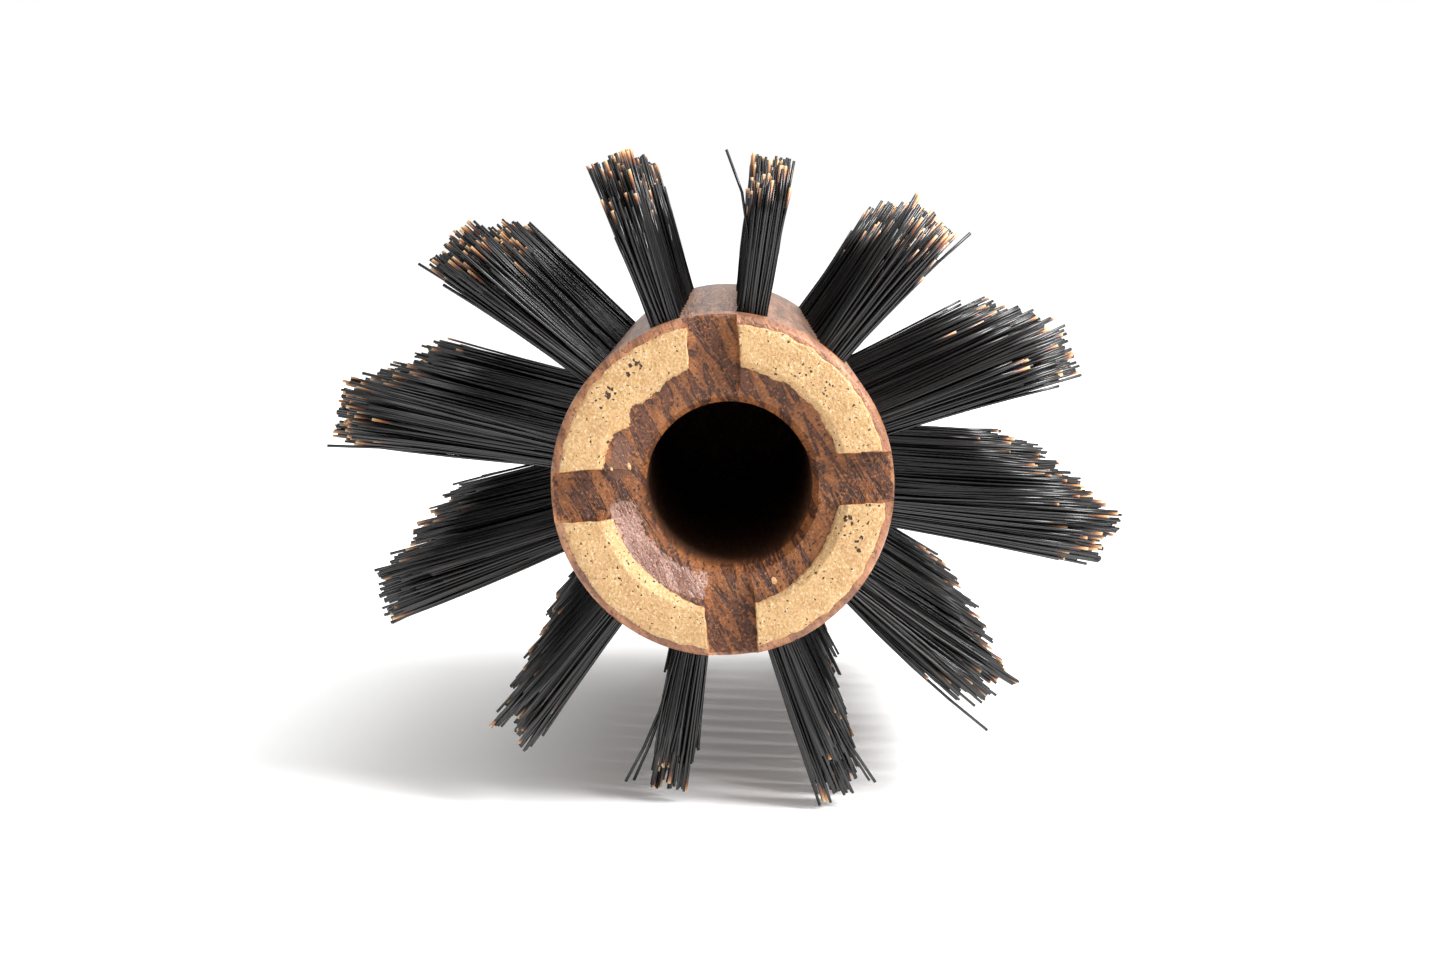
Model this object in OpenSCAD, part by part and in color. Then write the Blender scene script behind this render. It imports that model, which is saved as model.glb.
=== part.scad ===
// Round barrel brush: a turned wooden barrel that carries rows of stapled bristle tufts
// and takes a separate plug-in handle in its blind bore.
// The barrel lies along Y, its slotted handle end faces -Y and +Z is up.
// The origin is under the middle of the brush, on the surface that the bristles rest on.

/* [Barrel] */
// Outer diameter of the wooden barrel
barrel_d = 25; // [25:0.5:32]
// Length from the painted handle end to the closed end
barrel_len = 72; // [66:1:110]
// Radius turned on the rim of the handle end
front_rim_r = 0.75; // [0.4:0.05:1]
// Radius turned on the rim of the closed end
rear_rim_r = 3; // [1:0.5:4]

/* [Handle end] */
// Diameter of the blind bore that takes the handle's shaft
bore_d = 12.2; // [11:0.1:12.4]
// Depth of the bore's floor behind the painted face
bore_depth = 60; // [40:1:62]
// How far the drill ran off the barrel's centre, towards +X
bore_drift = 0.5; // [0:0.05:0.5]
// Inner radius of the four flat lands
land_inner_r = 9.2; // [9:0.05:9.6]
// Radius at the foot of the bevel inside the lands
bevel_r = 8.45; // [8.2:0.05:8.8]
// Depth of that bevel
bevel_depth = 0.6; // [0.3:0.05:0.8]
// Radius where the dished floor levels out
dish_r = 6.2; // [5.5:0.1:7]
// Depth of the dished floor
dish_depth = 1.3; // [1:0.05:1.6]
// Widening of the bore at its mouth
lip_w = 1.1; // [0.2:0.1:1.3]
// Depth at which the bore's straight wall begins
lip_depth = 2; // [1.7:0.1:3]
// Width of the four drive slots
slot_w = 3.65; // [2.5:0.05:5]
// Depth of the drive slots
slot_depth = 1.25; // [0.8:0.05:1.25]
// Radius in the bottom corners of the slots
slot_corner_r = 0.7; // [0.2:0.05:0.75]
// Turn of the slots about the barrel, counter-clockwise from +X seen from the handle end
slot_turn = 3.7; // [0:0.1:45]
// Thickness of the gilt coat on the lands
coat_t = 0.08; // [0.05:0.01:0.15]

/* [Bristle rows] */
// Number of tuft rows round the barrel
row_count = 12; // [8:2:12]
// Direction of row 1, counter-clockwise from +X seen from the handle end
first_row_angle = 110; // [95:0.5:120]
// Spacing of the tufts along a row
tuft_pitch = 4.8; // [4.6:0.1:8]
// Distance of the first tuft of row 1 behind the painted face
first_tuft = 4; // [4:0.1:6]
// Least distance from the last tuft to the closed end
rear_margin = 5; // [5:0.5:8]
// Diameter of the drilled tuft holes
hole_d = 2.5; // [2.2:0.05:2.6]
// Depth of the tuft holes below the barrel's surface
hole_depth = 4.2; // [3.5:0.1:4.3]
// Radial play between a tuft's root and its hole
tuft_play = 0.02; // [0.01:0.01:0.05]
// Diameter of a tuft at its tip, where the bristles have spread
tuft_tip_d = 4.4; // [3:0.1:4.5]
// Longer half-axis of the oval that the bristles are trimmed to
trim_long = 29.5; // [26:0.5:36]
// Shorter half-axis of that oval
trim_short = 24.3; // [22:0.1:30]
// Turn of the longer half-axis, counter-clockwise from +X seen from the handle end
trim_turn = -6; // [-20:1:20]

/* [Staples] */
// Length of a flat-wire staple, which bites into the wood at both ends
staple_len = 3.1; // [2.8:0.1:3.4]
// Width of the staple wire, along the hole
staple_h = 1.3; // [0.8:0.1:1.6]
// Thickness of the staple wire
staple_t = 0.35; // [0.2:0.05:0.5]
// Height of the tuft's fold under the staple
fold_h = 0.5; // [0.3:0.1:1]

/* [Hidden] */
WOOD = "#7a4a2e";
GILT = "#deb46e";
BRISTLE = "#1b1a1b";
STEEL = "#b9b4aa";
// Overlap that lets a cutter run clear of the face it starts from
CLEAR = 1;
barrel_r = barrel_d / 2;
bore_r = bore_d / 2;
hole_r = hole_d / 2;
hole_floor_r = barrel_r - hole_depth;
tuft_root_r = hole_r - tuft_play;
tuft_tip_r = tuft_tip_d / 2;
land_outer_r = barrel_r - front_rim_r;
row_numbers = [1:row_count];
// The brush rests on the lowest edge of its lowest tufts.
axis_height = max([for (n = row_numbers) drop(row_angle(n))]);
$fn = 64;

// Row names end in a two-figure number, such as bristle_row_07.
function row_name(stem, n) = str(stem, n < 10 ? "0" : "", n);

// Rows are numbered clockwise seen from the handle end.
function row_angle(n) = first_row_angle - (n - 1) * 360 / row_count;

// Radius that the bristles of a row in direction a are trimmed to
function trim_r(a) =
    (trim_long + trim_short) / 2 + (trim_long - trim_short) / 2 * cos(2 * (a - trim_turn));

// How far a tuft in direction a reaches below the barrel's axis
function drop(a) = -trim_r(a) * sin(a) + tuft_tip_r * abs(cos(a));

// Even rows start half a pitch later, so that neighbouring tufts are staggered.
function first_in_row(n) = first_tuft + (n % 2 == 0 ? tuft_pitch / 2 : 0);

// Number of tuft spaces that fit after the first tuft of a row
function spaces_in_row(n) = floor((barrel_len - rear_margin - first_in_row(n)) / tuft_pitch);

// Points of a quarter circle of radius r about (x, y), from angle start to start + 90
function quarter(x, y, r, start) =
    [for (step = [0:6]) [x + r * cos(start + 15 * step), y + r * sin(start + 15 * step)]];

// Places children that are drawn along +Z from the handle end.
module along_barrel() {
    translate([0, -barrel_len / 2, axis_height])
        rotate([-90, 0, 0])
            children();
}

// Repeats children at every tuft of a row. Their +Z points outwards from the barrel's axis
// and their X lies along the barrel.
module at_tufts(n) {
    for (space = [0:spaces_in_row(n)])
        translate([0, 0, first_in_row(n) + space * tuft_pitch])
            rotate([0, 0, -row_angle(n)])
                rotate([0, 90, 0])
                    children();
}

// Flat-wire staple lying across a tuft just above the hole's floor
module staple() {
    translate([-staple_len / 2, -staple_t / 2, hole_floor_r + fold_h])
        cube([staple_len, staple_t, staple_h]);
}

// One tuft: a straight root in its hole, and bristles that spread towards the trimmed tip
module tuft(tip_r) {
    difference() {
        rotate_extrude()
            polygon([
                [0, hole_floor_r],
                [tuft_root_r, hole_floor_r],
                [tuft_root_r, barrel_r],
                [tuft_tip_r, tip_r],
                [0, tip_r]
            ]);
        staple();
    }
}

// Straight drive slots across the handle end, as a cutter with rounded bottom corners
module drive_slots() {
    flat_w = slot_w - 2 * slot_corner_r;
    corner_y = slot_depth - slot_corner_r;
    for (turn = [0, 90])
        rotate([0, 0, turn - slot_turn])
            rotate([90, 0, 90])
                linear_extrude(height = barrel_d + 2 * CLEAR, center = true) {
                    translate([-slot_w / 2, -CLEAR])
                        square([slot_w, corner_y + CLEAR]);
                    translate([-flat_w / 2, -CLEAR])
                        square([flat_w, slot_depth + CLEAR]);
                    for (side = [-1, 1])
                        translate([side * flat_w / 2, corner_y])
                            circle(r = slot_corner_r);
                }
}

// Dished recess inside the lands, the widened mouth and the blind bore, as a cutter
module handle_socket() {
    rotate_extrude()
        polygon([
            [0, -CLEAR],
            [land_inner_r, -CLEAR],
            [land_inner_r, coat_t],
            [bevel_r, bevel_depth],
            [dish_r, dish_depth],
            [0, dish_depth]
        ]);
    translate([bore_drift, 0, 0]) {
        rotate_extrude()
            polygon([[0, 0], [bore_r + lip_w, 0], [bore_r, lip_depth], [0, lip_depth]]);
        cylinder(r = bore_r, h = bore_depth);
    }
}

// Turned barrel with its socket, drive slots, tuft holes and staple seats
module barrel() {
    color(WOOD)
        along_barrel()
            difference() {
                rotate_extrude()
                    polygon(concat(
                        [[0, coat_t]],
                        quarter(land_outer_r, coat_t + front_rim_r, front_rim_r, -90),
                        quarter(barrel_r - rear_rim_r, barrel_len - rear_rim_r, rear_rim_r, 0),
                        [[0, barrel_len]]
                    ));
                handle_socket();
                drive_slots();
                for (n = row_numbers)
                    at_tufts(n) {
                        translate([0, 0, hole_floor_r])
                            cylinder(r = hole_r, h = hole_depth + CLEAR);
                        staple();
                    }
            }
}

// Thin coat of gilt paint on the four lands
module gilt_coat() {
    color(GILT)
        along_barrel()
            difference() {
                cylinder(r = land_outer_r, h = coat_t);
                translate([0, 0, -CLEAR])
                    cylinder(r = land_inner_r, h = coat_t + 2 * CLEAR);
                drive_slots();
            }
}

// All the tufts of one row, each a separate solid
module bristle_row(n) {
    color(BRISTLE)
        along_barrel()
            at_tufts(n)
                tuft(trim_r(row_angle(n)));
}

// All the staples of one row, each a separate solid
module staple_row(n) {
    color(STEEL)
        along_barrel()
            at_tufts(n)
                staple();
}

barrel();
gilt_coat();
for (n = row_numbers) {
    bristle_row(n);
    staple_row(n);
}
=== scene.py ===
import math

import bpy
import numpy as np
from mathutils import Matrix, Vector, noise


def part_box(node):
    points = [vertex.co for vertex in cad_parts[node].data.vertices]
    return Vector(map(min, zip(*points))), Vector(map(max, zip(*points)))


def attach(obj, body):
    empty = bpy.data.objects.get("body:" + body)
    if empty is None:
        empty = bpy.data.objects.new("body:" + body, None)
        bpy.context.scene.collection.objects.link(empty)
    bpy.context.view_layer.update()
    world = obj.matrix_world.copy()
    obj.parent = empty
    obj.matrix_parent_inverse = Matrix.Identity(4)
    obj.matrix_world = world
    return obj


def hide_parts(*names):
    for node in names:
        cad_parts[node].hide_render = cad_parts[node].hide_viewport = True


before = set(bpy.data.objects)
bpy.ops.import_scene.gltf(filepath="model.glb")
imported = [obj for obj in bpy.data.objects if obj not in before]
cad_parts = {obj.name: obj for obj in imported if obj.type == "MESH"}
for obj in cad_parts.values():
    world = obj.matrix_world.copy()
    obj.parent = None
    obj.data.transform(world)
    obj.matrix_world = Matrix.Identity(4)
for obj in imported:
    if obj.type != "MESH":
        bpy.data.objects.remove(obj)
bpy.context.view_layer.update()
bpy.ops.object.select_all(action="DESELECT")

MM = 0.001


# Barrel: one length of beech turned to a cylinder, stained chestnut and sealed. The drive slots
# and the socket were cut into its end afterwards, so they show raw brown wood, and the sealer
# is left on the side, on the rim and in patches of the recess.

barrel_low, barrel_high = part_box("barrel")
AXIS_Z = (barrel_low.z + barrel_high.z) / 2
BARREL_R = (barrel_high.x - barrel_low.x) / 2 / MM
FACE_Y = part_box("gilt_coat")[0].y

GRAIN_TURN = math.radians(30)
STREAK_WIDTH, STREAK_LENGTH = 0.9, 4.5
PORE_WIDTH = 0.21
ALONG_GRAIN = 0.05
SEALED_RIM_R, SLOT_END_R = 11.2, 12.25
RECESS_R = 8.45
# Radius inside which the bore's wall gets its painted shade, and the socket's depth
BORE_SHADE_R, BORE_DEPTH = 6.9, 60


def linear(hex_colour):
    """The linear RGBA of an sRGB colour such as "#7d5238"."""
    shares = [int(hex_colour[i : i + 2], 16) / 255 for i in (1, 3, 5)]
    steps = [s / 12.92 if s <= 0.04045 else ((s + 0.055) / 1.055) ** 2.4 for s in shares]
    return (*steps, 1.0)


def add_node(tree, kind, settings=None, stops=None, out=0, **inputs):
    """Adds a shader node with its settings, the stops of a ramp, and what each input is or
    follows, and returns one output. Inputs are named in small letters with _ for a space, and
    in0, in1 number them."""
    made = tree.nodes.new("ShaderNode" + kind)
    for name, value in (settings or {}).items():
        setattr(made, name, value)
    if stops:
        elements = made.color_ramp.elements
        while len(elements) < len(stops):
            elements.new(1.0)
        for element, (place, colour) in zip(elements, stops):
            element.position = place
            element.color = linear(colour) if isinstance(colour, str) else (colour,) * 3 + (1.0,)
    by_name = {s.name.lower().replace(" ", "_"): s for s in reversed(made.inputs)}
    for name, value in inputs.items():
        socket = made.inputs[int(name[2:])] if name[2:].isdigit() else by_name[name]
        if isinstance(value, bpy.types.NodeSocket):
            tree.links.new(value, socket)
        else:
            socket.default_value = value
    return made.outputs[out]


def new_material(name):
    """A material with its tree, its shader and the object's own coordinates in millimetres,
    counted from the barrel's axis."""
    material = bpy.data.materials.new(name)
    material.use_nodes = True
    tree = material.node_tree
    shader = tree.nodes["Principled BSDF"]
    place = add_node(tree, "TexCoord", out="Object")
    axis = (0, 0, -AXIS_Z / MM)
    millimetres = add_node(tree, "Mapping", vector=place, scale=(1 / MM,) * 3, location=axis)
    return material, tree, shader, millimetres


MIX = {"data_type": "RGBA"}
ADD = {"operation": "ADD"}
SUBTRACT = {"operation": "SUBTRACT"}
MULTIPLY = {"operation": "MULTIPLY"}
MULTIPLY_ADD = {"operation": "MULTIPLY_ADD"}
MAXIMUM = {"operation": "MAXIMUM"}
ABSOLUTE = {"operation": "ABSOLUTE"}
ARCTAN2 = {"operation": "ARCTAN2"}


def sealer_patch(tree, place, wander, middle, half, inner):
    """1 in an arc of the recess, with ragged ends and a ragged inner edge."""
    x, y, z = add_node(tree, "SeparateXYZ", vector=place).node.outputs
    across = add_node(tree, "CombineXYZ", x=x, y=z)
    radius = add_node(tree, "VectorMath", {"operation": "LENGTH"}, out="Value", in0=across)
    turn = add_node(tree, "Math", ARCTAN2, in0=z, in1=x)
    turn = add_node(tree, "Math", SUBTRACT, in0=turn, in1=math.radians(middle))
    turn = add_node(tree, "Math", ABSOLUTE, in0=turn)
    turn = add_node(tree, "Math", MULTIPLY_ADD, in0=wander, in1=0.09, in2=turn)
    ends = add_node(
        tree, "MapRange", value=turn, from_min=math.radians(half), from_max=math.radians(half - 1),
    )
    ragged_r = add_node(tree, "Math", ADD, in0=radius, in1=wander)
    inside = add_node(tree, "MapRange", value=ragged_r, from_min=inner, from_max=inner + 0.1)
    outside = add_node(
        tree, "MapRange", value=radius, from_min=RECESS_R, from_max=RECESS_R - 0.1,
    )
    in_recess = add_node(
        tree, "MapRange", value=y, from_min=FACE_Y / MM + 3, from_max=FACE_Y / MM + 2,
    )
    arc = add_node(tree, "Math", MULTIPLY, in0=ends, in1=inside)
    arc = add_node(tree, "Math", MULTIPLY, in0=arc, in1=outside)
    return add_node(tree, "Math", MULTIPLY, in0=arc, in1=in_recess)


def stained_beech():
    """Beech stained chestnut: dark diagonal streaks and open pores in the cut end, matt where
    it is cut raw, and a pinkish satin where the sealer is left on. The pores are drawn 0.2 mm
    wide, four times their real width, so that they show."""
    material, tree, shader, place = new_material("stained_beech")

    turned = add_node(tree, "Mapping", vector=place, rotation=(0, GRAIN_TURN, 0))
    streak_space = add_node(
        tree, "Mapping", vector=turned,
        scale=(1 / STREAK_WIDTH, ALONG_GRAIN / STREAK_WIDTH, 1 / STREAK_LENGTH),
    )
    streaks = add_node(
        tree, "TexNoise", vector=streak_space, scale=1.0, detail=3.0, roughness=0.5,
        distortion=0.9,
    )
    pore_space = add_node(
        tree, "Mapping", vector=turned,
        scale=(1 / PORE_WIDTH, ALONG_GRAIN / PORE_WIDTH, 1 / PORE_WIDTH),
    )
    pores = add_node(tree, "TexNoise", vector=pore_space, scale=1.0, detail=2.0, roughness=0.5)

    # Raw wood: a brown base, near-black lines along the grain that are partly dark grain and partly
    # painted shade in the tear-out grooves, dark open pores and light fibre flecks
    raw = add_node(
        tree, "ValToRGB", fac=streaks,
        stops=((0.3, "#482513"), (0.45, "#5e3319"), (0.55, "#74431f"), (0.7, "#8a552c")),
    )
    # The near-black of these lines is partly painted shade, standing in for the shadow in the
    # grooves that the bump raises.
    from_line = add_node(tree, "Math", SUBTRACT, in0=streaks, in1=0.47)
    from_line = add_node(tree, "Math", ABSOLUTE, in0=from_line)
    clear_of_line = add_node(tree, "MapRange", value=from_line, from_max=0.055)
    raw = add_node(tree, "Mix", MIX, out=2, in0=clear_of_line, in6=linear("#30150a"), in7=raw)
    clear_of_pore = add_node(tree, "MapRange", value=pores, from_min=0.31, from_max=0.4)
    raw = add_node(tree, "Mix", MIX, out=2, in0=clear_of_pore, in6=linear("#2a130a"), in7=raw)
    fleck = add_node(tree, "MapRange", value=pores, from_min=0.58, from_max=0.67, to_max=0.42)
    raw = add_node(tree, "Mix", MIX, out=2, in0=fleck, in6=raw, in7=linear("#b3713a"))

    # Sealer over the turned side, and a thicker, pinker skin of it with rusty pinholes
    sealer = add_node(
        tree, "ValToRGB", fac=streaks, stops=((0.3, "#6b442e"), (0.5, "#966344"), (0.7, "#b5845f")),
    )
    thick_sealer = add_node(
        tree, "ValToRGB", fac=streaks, stops=((0.3, "#704e42"), (0.5, "#906e61"), (0.7, "#ab897b")),
    )
    pinhole = add_node(tree, "MapRange", value=pores, from_min=0.34, from_max=0.4)
    thick_sealer = add_node(
        tree, "Mix", MIX, out=2, in0=pinhole, in6=linear("#7a3a1c"), in7=thick_sealer,
    )
    sealed_pore = add_node(
        tree, "MapRange", value=pores, from_min=0.34, from_max=0.44, to_min=0.35,
    )
    sealer = add_node(tree, "Mix", MIX, out=2, in0=sealed_pore, in6=linear("#3f2418"), in7=sealer)

    # Where each lies: sealer on the side, on the rim above the slots' floors and on the closed
    # end, the thick skin at the lower left of the recess and a thin one at its left
    x, y, z = add_node(tree, "SeparateXYZ", vector=place).node.outputs
    across = add_node(tree, "CombineXYZ", x=x, y=z)
    radius = add_node(tree, "VectorMath", {"operation": "LENGTH"}, out="Value", in0=across)
    edge = add_node(tree, "TexNoise", vector=place, scale=1.6, detail=5.0, roughness=0.65)
    wander = add_node(tree, "Math", MULTIPLY_ADD, in0=edge, in1=1.6, in2=-0.8)
    ragged_r = add_node(tree, "Math", ADD, in0=radius, in1=wander)
    on_rim = add_node(
        tree, "MapRange", value=radius, from_min=SEALED_RIM_R, from_max=SEALED_RIM_R + 0.1,
    )
    above_slots = add_node(
        tree, "MapRange", value=y, from_min=FACE_Y / MM + 0.9, from_max=FACE_Y / MM + 0.8,
    )
    on_rim = add_node(tree, "Math", MULTIPLY, in0=on_rim, in1=above_slots)
    on_side = add_node(
        tree, "MapRange", value=ragged_r, from_min=SLOT_END_R, from_max=SLOT_END_R + 0.1,
    )
    outside = add_node(tree, "Math", MAXIMUM, in0=on_side, in1=on_rim)
    closed_end = add_node(
        tree, "MapRange", value=y, from_min=FACE_Y / MM + BORE_DEPTH + 1,
        from_max=FACE_Y / MM + BORE_DEPTH + 2,
    )
    outside = add_node(tree, "Math", MAXIMUM, in0=outside, in1=closed_end)
    # The closed end's grain soaked up more stain than the side did.
    soaked = add_node(tree, "Math", MULTIPLY, in0=closed_end, in1=0.5)
    sealer = add_node(tree, "Mix", MIX, out=2, in0=soaked, in6=sealer, in7=linear("#55321f"))
    thick = sealer_patch(tree, place, wander, -135, 36, 6.5)
    thin = sealer_patch(tree, place, wander, 165, 11, 7.0)
    thin = add_node(tree, "Math", MULTIPLY, in0=thin, in1=0.85)
    sealed = add_node(tree, "Math", MAXIMUM, in0=thin, in1=thick)
    sealed = add_node(tree, "Math", MAXIMUM, in0=outside, in1=sealed)

    # Painted shade: from about 2 mm in, the bore's wall is painted a flat darker brown that stands
    # in for the shade inside the socket.
    bore = add_node(
        tree, "MapRange", value=radius, from_min=BORE_SHADE_R, from_max=BORE_SHADE_R - 0.1,
    )
    deep = add_node(
        tree, "MapRange", value=y, from_min=FACE_Y / MM + 2.2, from_max=FACE_Y / MM + 7,
    )
    dark = add_node(tree, "Math", MULTIPLY, in0=bore, in1=deep)
    colour = add_node(tree, "Mix", MIX, out=2, in0=dark, in6=raw, in7=linear("#5c3e29"))
    colour = add_node(tree, "Mix", MIX, out=2, in0=thin, in6=colour, in7=linear("#64402e"))
    colour = add_node(tree, "Mix", MIX, out=2, in0=outside, in6=colour, in7=sealer)
    colour = add_node(tree, "Mix", MIX, out=2, in0=thick, in6=colour, in7=thick_sealer)

    gloss = add_node(tree, "MapRange", value=sealed, to_min=0.6, to_max=0.4)
    gloss = add_node(tree, "Math", MULTIPLY_ADD, in0=thick, in1=-0.14, in2=gloss)
    relief = add_node(tree, "Math", MULTIPLY_ADD, in0=clear_of_line, in1=0.25, in2=pores)
    filled = add_node(tree, "MapRange", value=outside, to_min=1.0, to_max=0.5)
    relief = add_node(tree, "Math", MULTIPLY, in0=relief, in1=filled)
    bump = add_node(tree, "Bump", height=relief, strength=1.0, distance=0.16 * MM)
    tree.links.new(colour, shader.inputs["Base Color"])
    tree.links.new(gloss, shader.inputs["Roughness"])
    tree.links.new(bump, shader.inputs["Normal"])
    shader.inputs["IOR"].default_value = 1.5
    return material


def coat_node(name, material):
    """Gives a CAD node its material."""
    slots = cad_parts[name].data.materials
    slots.clear()
    slots.append(material)


coat_node("barrel", stained_beech())


# Staples: flat steel wire cut to length, each driven across the floor of a tuft hole with its
# tuft folded under it, so that its ends bite into the wood.

WIRE_LINES = 0.05


def drawn_steel():
    """Drawn steel wire: fine lines along the wire, bright with a little oil stain."""
    material, tree, shader, place = new_material("drawn_steel")
    along_wire = (1 / WIRE_LINES, 0.5, 1 / WIRE_LINES)
    lines = add_node(tree, "Mapping", vector=place, scale=along_wire)
    drawn = add_node(tree, "TexNoise", vector=lines, scale=1.0, detail=3.0)
    tone = add_node(tree, "ValToRGB", fac=drawn, stops=((0.3, "#8e8980"), (0.7, "#c9c4ba")))
    dull = add_node(tree, "MapRange", value=drawn, to_min=0.25, to_max=0.5)
    tree.links.new(tone, shader.inputs["Base Color"])
    tree.links.new(dull, shader.inputs["Roughness"])
    shader.inputs["Metallic"].default_value = 1.0
    return material


ROW_COUNT = 12
steel = drawn_steel()
for row in range(1, ROW_COUNT + 1):
    coat_node(f"staple_row_{row:02d}", steel)


# Gilt coat: thick gold bronze paint brushed on the four lands and down the bevel inside them.
# Its inner edge is ragged where it ran on to the rough recess, and a few drops fell beside it.

COAT_T = 0.08
LAND_R = 9.2
BEVEL_R, BEVEL_DEPTH = 8.45, 0.6
DISH_R, DISH_DEPTH = 6.2, 1.3
RIM_R = 0.75
SLOT_W = 3.65
SLOT_TURN = 3.7
ACROSS, ROUND = 44, 210
EDGE_ROUND, SHOULDER = 0.14, 0.8
EDGE_T, MIDDLE_T = 0.03, 0.14


def wood_depth(r):
    """How far the turned end lies behind the painted face at radius r."""
    if r > BARREL_R - RIM_R:
        step = min(r - BARREL_R + RIM_R, RIM_R)
        return COAT_T + RIM_R - math.sqrt(RIM_R**2 - step**2)
    if r > LAND_R:
        return COAT_T
    if r > BEVEL_R:
        return COAT_T + (BEVEL_DEPTH - COAT_T) * (LAND_R - r) / (LAND_R - BEVEL_R)
    return BEVEL_DEPTH + (DISH_DEPTH - BEVEL_DEPTH) * (BEVEL_R - r) / (BEVEL_R - DISH_R)


def along(values, share):
    """A smooth value between evenly spaced ones, at a share of the way along them."""
    step = min(max(share, 0.0), 1.0) * (len(values) - 1)
    i = min(int(step), len(values) - 2)
    t = step - i
    return values[i] + (values[i + 1] - values[i]) * t * t * (3 - 2 * t)


FILM_OUTER_R = 11.86
FILM_T = 0.14


def gilt_film(name, start, inner, ragged):
    """Paint on the land that starts at an angle, with its inner edge through those radii."""
    bpy.ops.mesh.primitive_grid_add(x_subdivisions=ROUND, y_subdivisions=ACROSS, size=1)
    film = bpy.context.active_object
    film.name = name
    for vertex in film.data.vertices:
        share, out = vertex.co.x + 0.5, vertex.co.y + 0.5
        turn = start + 90 * share
        fleck = Vector((math.cos(math.radians(turn)), math.sin(math.radians(turn)), 0))
        low = along(inner, share)
        low += ragged * noise.noise(fleck * 14) + ragged * 0.5 * noise.noise(fleck * 40)
        high = FILM_OUTER_R + 0.16 * noise.noise(fleck * 9) + 0.04 * noise.noise(fleck * 45)
        r = low + (high - low) * out
        chip = 0.1 * noise.noise(Vector((r * 1.3, start, share))) + 0.03
        slot_side = math.degrees(math.asin((SLOT_W / 2 + chip) / r))
        turn = math.radians(start + slot_side + (90 - 2 * slot_side) * share)
        side = min(share, 1 - share) * math.radians(90) * r
        rim = min(out, 1 - out) * (high - low)
        edge = min(1.0, min(side, rim) / EDGE_ROUND)
        crown = 1 - (1 - min(1.0, (high - r) / SHOULDER)) ** 2
        spot = Vector((r * math.cos(turn), r * math.sin(turn), start))
        grit = 0.026 * noise.noise(spot * 3.3) + 0.014 * noise.noise(spot * 6.5)
        swell = 0.02 * noise.noise(spot * 0.9)
        lift = EDGE_T + (MIDDLE_T - EDGE_T) * crown + grit + swell
        lift *= math.sqrt(1 - (1 - edge) ** 2)
        depth = wood_depth(r) - lift
        vertex.co = (
            r * math.cos(turn) * MM,
            FACE_Y + depth * MM,
            AXIS_Z + r * math.sin(turn) * MM,
        )
    thicken = film.modifiers.new("coat", "SOLIDIFY")
    thicken.thickness = FILM_T * MM
    thicken.offset = -1
    bpy.ops.object.mode_set(mode="EDIT")
    bpy.ops.mesh.select_all(action="SELECT")
    bpy.ops.mesh.normals_make_consistent(inside=False)
    bpy.ops.object.mode_set(mode="OBJECT")
    if film.data.polygons[0].normal.y > 0:
        bpy.ops.object.mode_set(mode="EDIT")
        bpy.ops.mesh.flip_normals()
        bpy.ops.object.mode_set(mode="OBJECT")
    bpy.ops.object.modifier_apply(modifier=thicken.name)
    bpy.ops.object.shade_smooth_by_angle(angle=math.radians(50))
    film.select_set(False)
    return film


# Where the pinholes cluster, across and above the axis, and how large they are there
PINHOLE_CLUSTERS = (
    (-8.4, 6.5, 0.6), (-6.3, 8.6, 0.45), (9.9, -4.1, 0.46), (9.1, -2.3, 0.34), (7.6, 7.2, 0.24),
)


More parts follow.
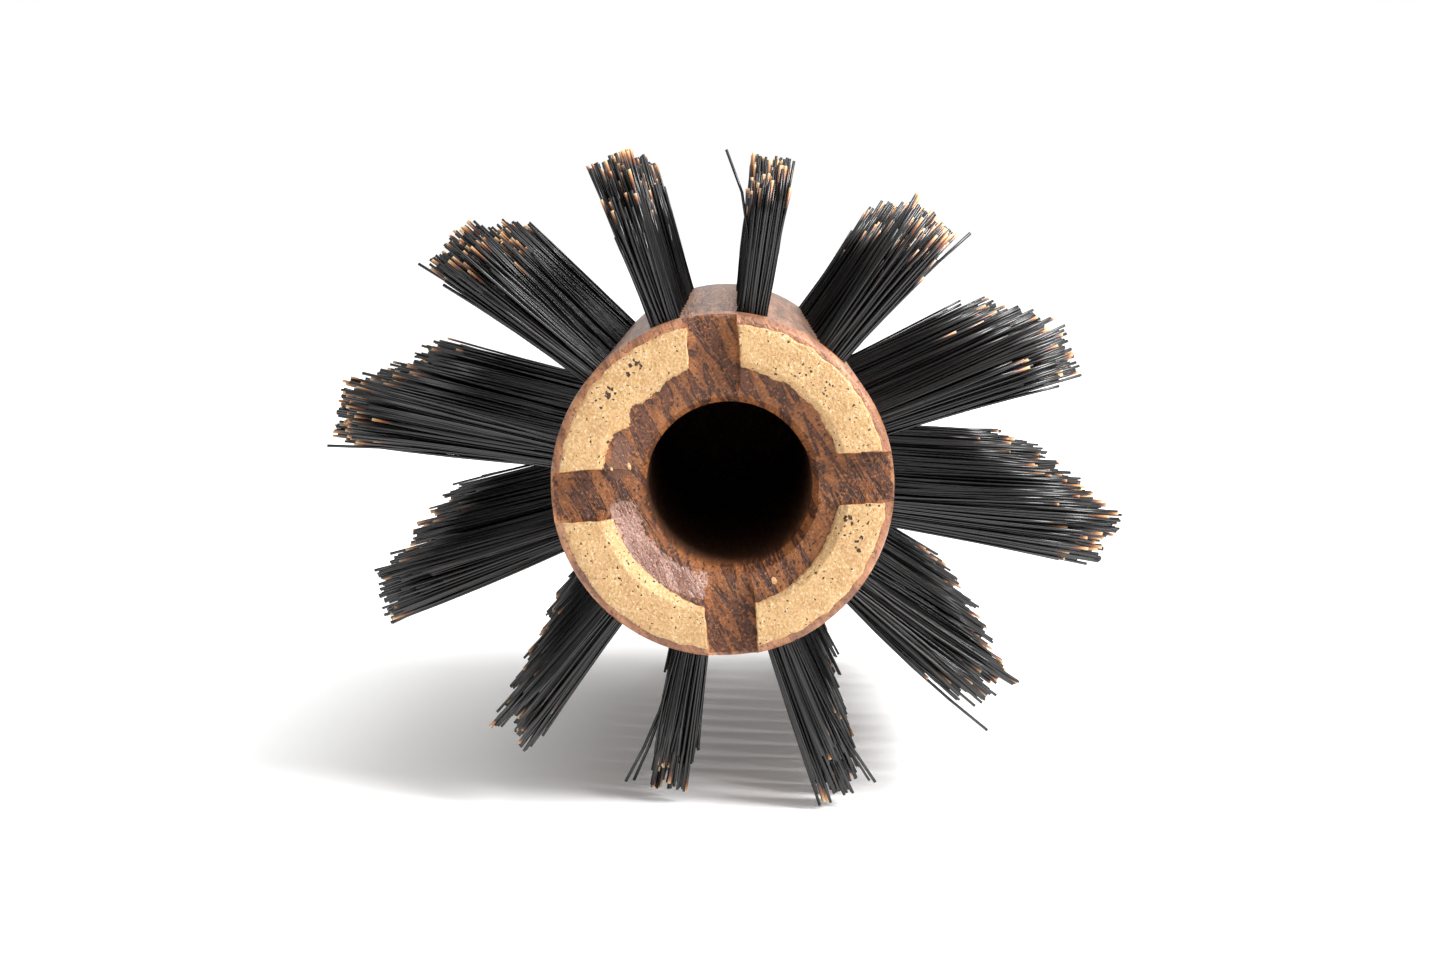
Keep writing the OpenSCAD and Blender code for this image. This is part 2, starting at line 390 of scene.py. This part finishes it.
def gold_bronze_paint():
    """Bronze powder in a thick binder: a grainy satin gold with cream glints painted into its
    colour as highlights, fine dark specks and a few clusters of pinholes. The grain is drawn 0.2 mm
    across, several times the real powder, so that it shows."""
    material, tree, shader, place = new_material("gold_bronze_paint")
    grain = add_node(tree, "TexNoise", vector=place, scale=4.6, detail=3.0, roughness=0.65)
    cloud = add_node(tree, "TexNoise", vector=place, scale=0.8, detail=3.0)
    # The lightest stop paints cream glints into the colour: painted highlights of the powder
    # grains.
    tone = add_node(
        tree, "ValToRGB", fac=grain,
        stops=((0.3, "#ab8657"), (0.45, "#c29d6b"), (0.58, "#c9a67a"), (0.76, "#e8d7ba")),
    )
    worn = add_node(tree, "ValToRGB", fac=cloud, stops=((0.3, "#d9c9b4"), (0.65, "#ffffff")))
    shaded = add_node(
        tree, "Mix", {"data_type": "RGBA", "blend_type": "MULTIPLY"}, out=2,
        in0=0.5, in6=tone, in7=worn,
    )

    # Pinholes are small wherever the cloud is thin, and larger in the clusters.
    warp = add_node(tree, "TexNoise", out="Color", vector=place, scale=3.5, detail=1.0)
    warped = add_node(
        tree, "VectorMath", MULTIPLY_ADD, in0=warp, in1=(0.35, 0.35, 0.35), in2=place,
    )
    cells = add_node(tree, "TexVoronoi", {"feature": "F1"}, vector=warped, scale=2.5)
    size = add_node(
        tree, "MapRange", value=cloud, from_min=0.35, from_max=0.7, to_min=0.05, to_max=0.2,
    )
    for centre_x, centre_z, largest in PINHOLE_CLUSTERS:
        away = add_node(
            tree, "VectorMath", {"operation": "DISTANCE"}, out="Value",
            in0=place, in1=(centre_x, FACE_Y / MM, centre_z),
        )
        near = add_node(
            tree, "MapRange", value=away, from_min=1.1, from_max=0.35, to_min=0.0, to_max=largest,
        )
        size = add_node(tree, "Math", MAXIMUM, in0=size, in1=near)
    beyond = add_node(tree, "Math", SUBTRACT, in0=cells, in1=size)
    whole = add_node(tree, "MapRange", value=beyond, from_min=0.0, from_max=0.06)
    colour = add_node(tree, "Mix", MIX, out=2, in0=whole, in6=linear("#3a2416"), in7=shaded)

    height = add_node(tree, "Math", MULTIPLY_ADD, in0=whole, in1=1.5, in2=grain)
    bump = add_node(tree, "Bump", height=height, strength=1.0, distance=0.12 * MM)
    satin = add_node(tree, "MapRange", value=grain, to_min=0.6, to_max=0.36)
    tree.links.new(colour, shader.inputs["Base Color"])
    tree.links.new(satin, shader.inputs["Roughness"])
    tree.links.new(bump, shader.inputs["Normal"])
    shader.inputs["Metallic"].default_value = 0.22
    return material


bronze_paint = gold_bronze_paint()
films = [
    gilt_film("gilt_upper_right", SLOT_TURN,
              [8.65, 8.65, 8.6, 8.75, 8.65, 8.8, 8.6, 8.7, 8.8], 0.1),
    gilt_film("gilt_upper_left", SLOT_TURN + 90,
              [8.9, 8.75, 8.4, 8.3, 8.7, 8.05, 8.75, 8.75, 8.7], 0.2),
    gilt_film("gilt_lower_left", SLOT_TURN + 180,
              [8.3, 8.25, 8.3, 8.35, 8.35, 8.4, 8.55, 8.75, 8.9], 0.05),
    gilt_film("gilt_lower_right", SLOT_TURN + 270,
              [8.8, 8.75, 8.75, 8.65, 8.6, 8.55, 8.45, 8.45, 8.5], 0.07),
]
DROPS = ((7.93, -61.6, 0.2, 0.36), (6.95, 168, 0.14, 0.3), (8.15, 171, 0.1, 0.16))
for number, (r, angle, half_width, half_length) in enumerate(DROPS, 1):
    turn = math.radians(angle)
    depth = wood_depth(r) * MM
    spot = (r * math.cos(turn) * MM, FACE_Y + depth, AXIS_Z + r * math.sin(turn) * MM)
    bpy.ops.mesh.primitive_uv_sphere_add(segments=20, ring_count=12, radius=MM, location=spot)
    drop = bpy.context.active_object
    drop.name = f"gilt_drop_{number}"
    drop.scale = (half_width, 0.07, half_length)
    drop.rotation_euler = (0, math.radians(-20), 0)
    bpy.ops.object.transform_apply(location=True, rotation=True, scale=True)
    bpy.ops.object.shade_smooth()
    drop.select_set(False)
    films.append(drop)
for film in films:
    film.data.materials.append(bronze_paint)
    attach(film, "root")
    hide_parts("gilt_coat")


# Bristle tufts: black boar bristle, about fifty to a tuft, each folded double under its staple
# so that both ends stand out of the hole. They are cut in uneven steps to an oval, and some
# keep the pale root end of the hair.

FIRST_ROW_ANGLE = 110
TUFT_PITCH = 4.8
TUFT_TIP_R = 2.2
HOLE_DEPTH = 4.2
PER_TUFT = 50
BRISTLE_R = 0.114
SIDES = 5
MOUTH_R = 1.1
BRISTLE_PITCH = 0.212
STAPLE_CLEAR = 0.34
CLUMPS = 8
DARK_END = 0.02
REACHES = (0.25, 0.5, 0.75, 1.0)
ROW_LEAN = (-1.2, 2.4, 1.0, 0.8, 3.2, 2.1, 1.1, 0.6, 1.6, -2.3, 0.1, 0.1)
ROW_CUT = (-0.3, 0.1, 0.5, 0.7, -0.1, 0.7, -0.4, 0.0, 0.5, 1.0, -0.4, 0.3)
ROW_TIP_WIDTH = (3.4, 2.8, 4.2, 4.2, 4.5, 4.5, 3.6, 3.0, 3.4, 4.3, 4.5, 4.1)
# Share of pale ends in each row's first tuft
ROW_PALE = (0.45, 0.3, 0.5, 0.22, 0.25, 0.18, 0.07, 0.12, 0.18, 0.1, 0.5, 0.25)
# Flyaway bristles of each row's first tuft: how far from its middle they end, how far they bow
# sideways, and how late they leave it (1 is straight)
STRAYS = {2: ((3.6, -0.2, 2.6),), 3: ((-2.6, 0.0, 2.0),), 6: ((-2.4, -0.3, 1.0),),
          7: ((2.7, 0.1, 2.0), (2.3, 0.0, 2.0)), 8: ((-3.3, 0.0, 2.0), (-2.7, 0.0, 2.0)),
          11: ((2.6, 0.0, 2.0),), 12: ((2.1, 0.0, 2.0),)}
random = np.random.default_rng(7)


def bristle_blank(rings):
    """A straight closed tube of that many rings, as (ring, side) of each vertex and its faces."""
    bpy.ops.mesh.primitive_cylinder_add(vertices=SIDES, radius=1, depth=rings - 1)
    blank = bpy.context.active_object
    bpy.ops.object.mode_set(mode="EDIT")
    bpy.ops.mesh.select_mode(type="EDGE")
    bpy.ops.mesh.select_all(action="DESELECT")
    bpy.ops.object.mode_set(mode="OBJECT")
    points = blank.data.vertices
    for edge in blank.data.edges:
        a, b = edge.vertices
        edge.select = abs(points[a].co.z - points[b].co.z) > 0.5
    bpy.ops.object.mode_set(mode="EDIT")
    bpy.ops.mesh.subdivide(number_cuts=rings - 2)
    bpy.ops.object.mode_set(mode="OBJECT")
    co = np.array([v.co for v in blank.data.vertices])
    ring = np.rint(co[:, 2] + (rings - 1) / 2).astype(int)
    angle = np.arctan2(co[:, 1], co[:, 0])
    faces = [tuple(p.vertices) for p in blank.data.polygons]
    bpy.data.objects.remove(blank)
    return ring, angle, faces


def packed_half(count):
    """Close-packed places in the half of a tuft hole on the +t side of its staple, as (t, y)."""
    i, j = np.meshgrid(np.arange(-12, 13), np.arange(-12, 13))
    shift = random.random(2)
    across = (i + j / 2 + shift[0]).ravel() * BRISTLE_PITCH
    up = (j + shift[1]).ravel() * BRISTLE_PITCH * math.sqrt(0.75)
    turn = random.uniform(0, math.pi)
    t = np.abs(across * math.cos(turn) - up * math.sin(turn))
    y = across * math.sin(turn) + up * math.cos(turn)
    nearest = np.argsort(np.hypot(t, y))[: 2 * count : 2]
    places = np.stack([t, y])[:, nearest]
    places *= MOUTH_R / np.hypot(*places).max()
    return places + random.normal(0, 0.025, places.shape)


def bristle_ends(side, t, y, trim, lean, width, extra_cut, short_front, wild_share, strays):
    """The path of one half of each bristle, from its cut tip to its root, in the tuft's own
    axes: t round the barrel, y along it, r outwards."""
    count = len(t)
    clump_t, clump_y = random.normal(0, 0.8, (2, CLUMPS))
    steps = random.choice([0.0, 0.35, 0.9, 1.6, 2.6], CLUMPS)
    clump = np.argmin(np.hypot(side * t[:, None] - clump_t, y[:, None] - clump_y), axis=1)
    cut = steps[clump] + np.abs(random.normal(0, 0.25, count))
    cut += random.choice([0, 0, 0, 1.2, 3.2], count) * random.random(count)
    cut = np.maximum(cut + extra_cut + short_front * np.clip(-y, 0, 1), 0)
    fan = width / 2 / MOUTH_R
    tip_t = side * t * fan + 0.12 * (clump_t[clump] - side * t) + random.normal(0, 0.09, count)
    tip_y = y * 1.8 + 0.12 * (clump_y[clump] - y) + random.normal(0, 0.16, count)
    bow_t, bow_y = random.normal(0, 0.085, (2, count))
    reach_power = np.full(count, 1.1)
    wild = random.random(count) < wild_share
    tip_t += wild * random.normal(0, 0.25, count)
    cut += wild * 1.5
    edge_first = np.argsort(-t)
    for place, (tip, bow, late) in zip(edge_first, strays):
        if side * tip > 0:
            tip_t[place], bow_t[place], cut[place] = tip, bow, 0.3
            reach_power[place] = late
    tip_r = trim - cut
    rise = tip_r - BARREL_R
    tip_t += rise * math.tan(math.radians(lean))
    root_t = side * (STAPLE_CLEAR + 0.68 * t)
    root_y = y * np.sqrt(np.clip(1 - (root_t / 1.16) ** 2, 0.05, 1))
    rings = []
    for s in reversed(REACHES):
        arch = 4 * s * (1 - s)
        out = s**reach_power
        rings.append(np.stack([
            side * t + (tip_t - side * t) * out + bow_t * arch,
            y + (tip_y - y) * out + bow_y * arch,
            BARREL_R + rise * s,
        ], axis=1))
    rings.append(np.stack([side * t, y, np.full(count, BARREL_R - 0.1)], axis=1))
    floor_r = BARREL_R - HOLE_DEPTH
    rings.append(np.stack([root_t, root_y, np.full(count, floor_r + 0.42)], axis=1))
    return np.stack(rings, axis=1)


def tuft_paths(*shape):
    """The paths of a tuft's bristles from tip to tip, through the fold under the staple."""
    near = bristle_ends(1, *packed_half(PER_TUFT), *shape)
    far = bristle_ends(-1, *packed_half(PER_TUFT), *shape)
    fold = (near[:, -1:] + far[:, -1:]) / 2
    fold[:, 0, 0] = 0
    fold[:, 0, 2] = BARREL_R - HOLE_DEPTH + 0.12 + 0.22 * random.random(PER_TUFT)
    return np.concatenate([near, fold, far[:, ::-1]], axis=1)


RINGS = 2 * (len(REACHES) + 2) + 1
blank_ring, blank_angle, blank_faces = bristle_blank(RINGS)


def attribute(mesh, name, values):
    """Gives every point of a mesh its own value, for the material to read."""
    mesh.attributes.new(name, "FLOAT", "POINT").data.foreach_set("value", values.ravel())


def bristle_row(row, material):
    """All the tufts of a row as one piece."""
    name = f"bristle_row_{row:02d}"
    low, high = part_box(name)
    turn = math.radians(FIRST_ROW_ANGLE - (row - 1) * 360 / ROW_COUNT)
    outward = np.array([math.cos(turn), 0, math.sin(turn)])
    round_way = np.array([-math.sin(turn), 0, math.cos(turn)])
    along_way = np.array([0.0, 1.0, 0.0])
    solid = np.array([v.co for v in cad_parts[name].data.vertices]) / MM
    solid[:, 2] -= AXIS_Z / MM
    trim = float((solid @ outward).max())
    first = low.y / MM + TUFT_TIP_R
    tufts = round((high.y / MM - TUFT_TIP_R - first) / TUFT_PITCH) + 1
    paths, pale = [], []
    for tuft in range(tufts):
        lean = ROW_LEAN[row - 1] + random.normal(0, 0.6)
        width = ROW_TIP_WIDTH[row - 1] * random.uniform(0.95, 1.05)
        is_first = tuft == 0
        local = tuft_paths(
            trim, lean, width, ROW_CUT[row - 1], 0.9 if is_first else 0.5,
            0 if is_first else 0.004, STRAYS.get(row, ()) if is_first else (),
        )
        local[:, :, 1] += first + tuft * TUFT_PITCH
        paths.append(local)
        share = random.uniform(0.1, 0.5)
        if is_first:
            share = ROW_PALE[row - 1]
        length = random.uniform(0.3, 1.9, (PER_TUFT, 2))
        pale.append(np.where(random.random((PER_TUFT, 2)) < share, length, DARK_END))
    local, pale = np.concatenate(paths), np.concatenate(pale)
    path = local @ np.stack([round_way, along_way, outward])
    path[:, :, 2] = np.maximum(path[:, :, 2], BRISTLE_R - AXIS_Z / MM)
    step = np.gradient(path, axis=1)
    step /= np.linalg.norm(step, axis=2, keepdims=True)
    across = np.cross(step, along_way)
    across /= np.linalg.norm(across, axis=2, keepdims=True)
    beside = np.cross(step, across)
    thick = BRISTLE_R * random.uniform(0.85, 1.12, (len(path), 1))
    ring, angle = blank_ring, blank_angle
    points = (
        path[:, ring]
        + (thick * np.cos(angle))[:, :, None] * across[:, ring]
        + (thick * np.sin(angle))[:, :, None] * beside[:, ring]
    )
    lengths = np.linalg.norm(np.diff(path, axis=1), axis=2)
    gone = np.concatenate([np.zeros((len(path), 1)), np.cumsum(lengths, axis=1)], axis=1)
    from_tip = np.minimum(gone, gone[:, -1:] - gone) + DARK_END
    pale_here = np.where(np.arange(RINGS) < RINGS // 2, pale[:, :1], pale[:, 1:])
    tint = np.repeat(random.random((len(path), 1)), RINGS, axis=1)

    verts = points.reshape(-1, 3) * MM
    verts[:, 2] += AXIS_Z
    per = len(blank_ring)
    faces = [tuple(v + per * i for v in face) for i in range(len(path)) for face in blank_faces]
    mesh = bpy.data.meshes.new(name + "_bristles")
    mesh.from_pydata(verts.tolist(), [], faces)
    attribute(mesh, "from_tip", from_tip[:, ring])
    attribute(mesh, "pale_length", pale_here[:, ring])
    attribute(mesh, "tint", tint[:, ring])
    piece = bpy.data.objects.new(name + "_bristles", mesh)
    bpy.context.scene.collection.objects.link(piece)
    mesh.materials.append(material)
    bpy.ops.object.select_all(action="DESELECT")
    piece.select_set(True)
    bpy.context.view_layer.objects.active = piece
    bpy.ops.object.shade_smooth()
    piece.select_set(False)
    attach(piece, "root")
    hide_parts(name)
    return piece


def boar_bristle():
    """Black boar bristle: dark grey-black with a soft sheen, and cream to rust ends on some."""
    material, tree, shader, _ = new_material("boar_bristle")
    from_tip = add_node(tree, "Attribute", {"attribute_name": "from_tip"}, out="Fac")
    pale_length = add_node(tree, "Attribute", {"attribute_name": "pale_length"}, out="Fac")
    tint = add_node(tree, "Attribute", {"attribute_name": "tint"}, out="Fac")
    share = add_node(tree, "Math", {"operation": "DIVIDE"}, in0=from_tip, in1=pale_length)
    end_colour = add_node(
        tree, "ValToRGB", fac=share,
        stops=((0.0, "#d9bb90"), (0.25, "#b27c4c"), (0.55, "#6b3a20"), (1.0, "#120e0d")),
    )
    body = add_node(
        tree, "ValToRGB", fac=tint, stops=((0.0, "#030303"), (0.7, "#0a090a"), (1.0, "#171210")),
    )
    is_end = add_node(tree, "MapRange", value=share, from_min=1.0, from_max=0.85)
    colour = add_node(tree, "Mix", MIX, out=2, in0=is_end, in6=body, in7=end_colour)
    dull = add_node(tree, "MapRange", value=tint, to_min=0.2, to_max=0.34)
    tree.links.new(colour, shader.inputs["Base Color"])
    tree.links.new(dull, shader.inputs["Roughness"])
    shader.inputs["IOR"].default_value = 1.54
    shader.inputs["Specular IOR Level"].default_value = 0.62
    return material


bristle_material = boar_bristle()
for row in range(1, ROW_COUNT + 1):
    bristle_row(row, bristle_material)


# Floor: a matt white acrylic sheet, lit faintly from below, that runs out past the view.

bpy.ops.mesh.primitive_plane_add(size=4)
floor = bpy.context.active_object
floor.name = "floor"
card, _, card_shader, _ = new_material("white_card")
card_shader.inputs["Base Color"].default_value = (0.9, 0.9, 0.9, 1)
card_shader.inputs["Roughness"].default_value = 0.9
card_shader.inputs["Emission Color"].default_value = (1, 0.99, 0.98, 1)
card_shader.inputs["Emission Strength"].default_value = 0.14
floor.data.materials.append(card)


# Light: a pale studio, brighter above and behind, a broad overhead light that whitens the floor,
# a low glow from the backdrop, and a soft box in front, high on the right.

world = bpy.data.worlds.new("studio")
bpy.context.scene.world = world
world.use_nodes = True
sky = world.node_tree
BRIGHT_SIDE = (0.2, 0.5, 0.84)
direction = add_node(sky, "TexCoord", out="Generated")
facing = add_node(
    sky, "VectorMath", {"operation": "DOT_PRODUCT"}, out="Value", in0=direction, in1=BRIGHT_SIDE,
)
room = add_node(
    sky, "MapRange", value=facing, from_min=-0.3, from_max=0.9, to_min=0.16, to_max=1.15,
)
seen = add_node(sky, "LightPath", out="Is Camera Ray")
glow = add_node(sky, "Mix", in0=seen, in2=room, in3=1.0)
sky.links.new(glow, sky.nodes["Background"].inputs["Strength"])
sky.nodes["Background"].inputs["Color"].default_value = (1, 1, 1, 1)


def lamp(name, kind, place, power, **settings):
    """A lamp aimed at the middle of the barrel."""
    data = bpy.data.lights.new(name, kind)
    data.energy = power
    for setting, value in settings.items():
        setattr(data, setting, value)
    holder = bpy.data.objects.new(name, data)
    bpy.context.scene.collection.objects.link(holder)
    holder.location = place
    aim = Vector((0, 0, AXIS_Z)) - Vector(place)
    holder.rotation_euler = aim.to_track_quat("-Z", "Y").to_euler()
    return holder


lamp("overhead", "SUN", (0.3, -0.12, 0.9), 1.3, angle=math.radians(50))
lamp("backdrop", "AREA", (0, 0.42, 0.1), 1.0, shape="DISK", size=0.4).visible_glossy = False
lamp("soft_box", "AREA", (0.31, -0.18, 0.3), 3.1, shape="DISK", size=0.22)


# Camera: level with the face, a little above, looking down the barrel.

FACE_DISTANCE = 185 * MM
LOOK_DOWN = math.radians(6.25)
LOOK_LEFT = math.radians(0.3)
AIM_ABOVE = 0.4 * MM
face = Vector((0, FACE_Y, AXIS_Z + AIM_ABOVE))
back = Vector((
    math.sin(LOOK_LEFT) * math.cos(LOOK_DOWN),
    -math.cos(LOOK_LEFT) * math.cos(LOOK_DOWN),
    math.sin(LOOK_DOWN),
))
camera_data = bpy.data.cameras.new("camera")
camera_data.lens = 63.8
camera_data.clip_start = 0.01
camera = bpy.data.objects.new("camera", camera_data)
bpy.context.scene.collection.objects.link(camera)
camera.location = face + back * FACE_DISTANCE
camera.rotation_euler = (-back).to_track_quat("-Z", "Y").to_euler()
bpy.context.scene.camera = camera
bpy.context.scene.view_settings.view_transform = "Standard"
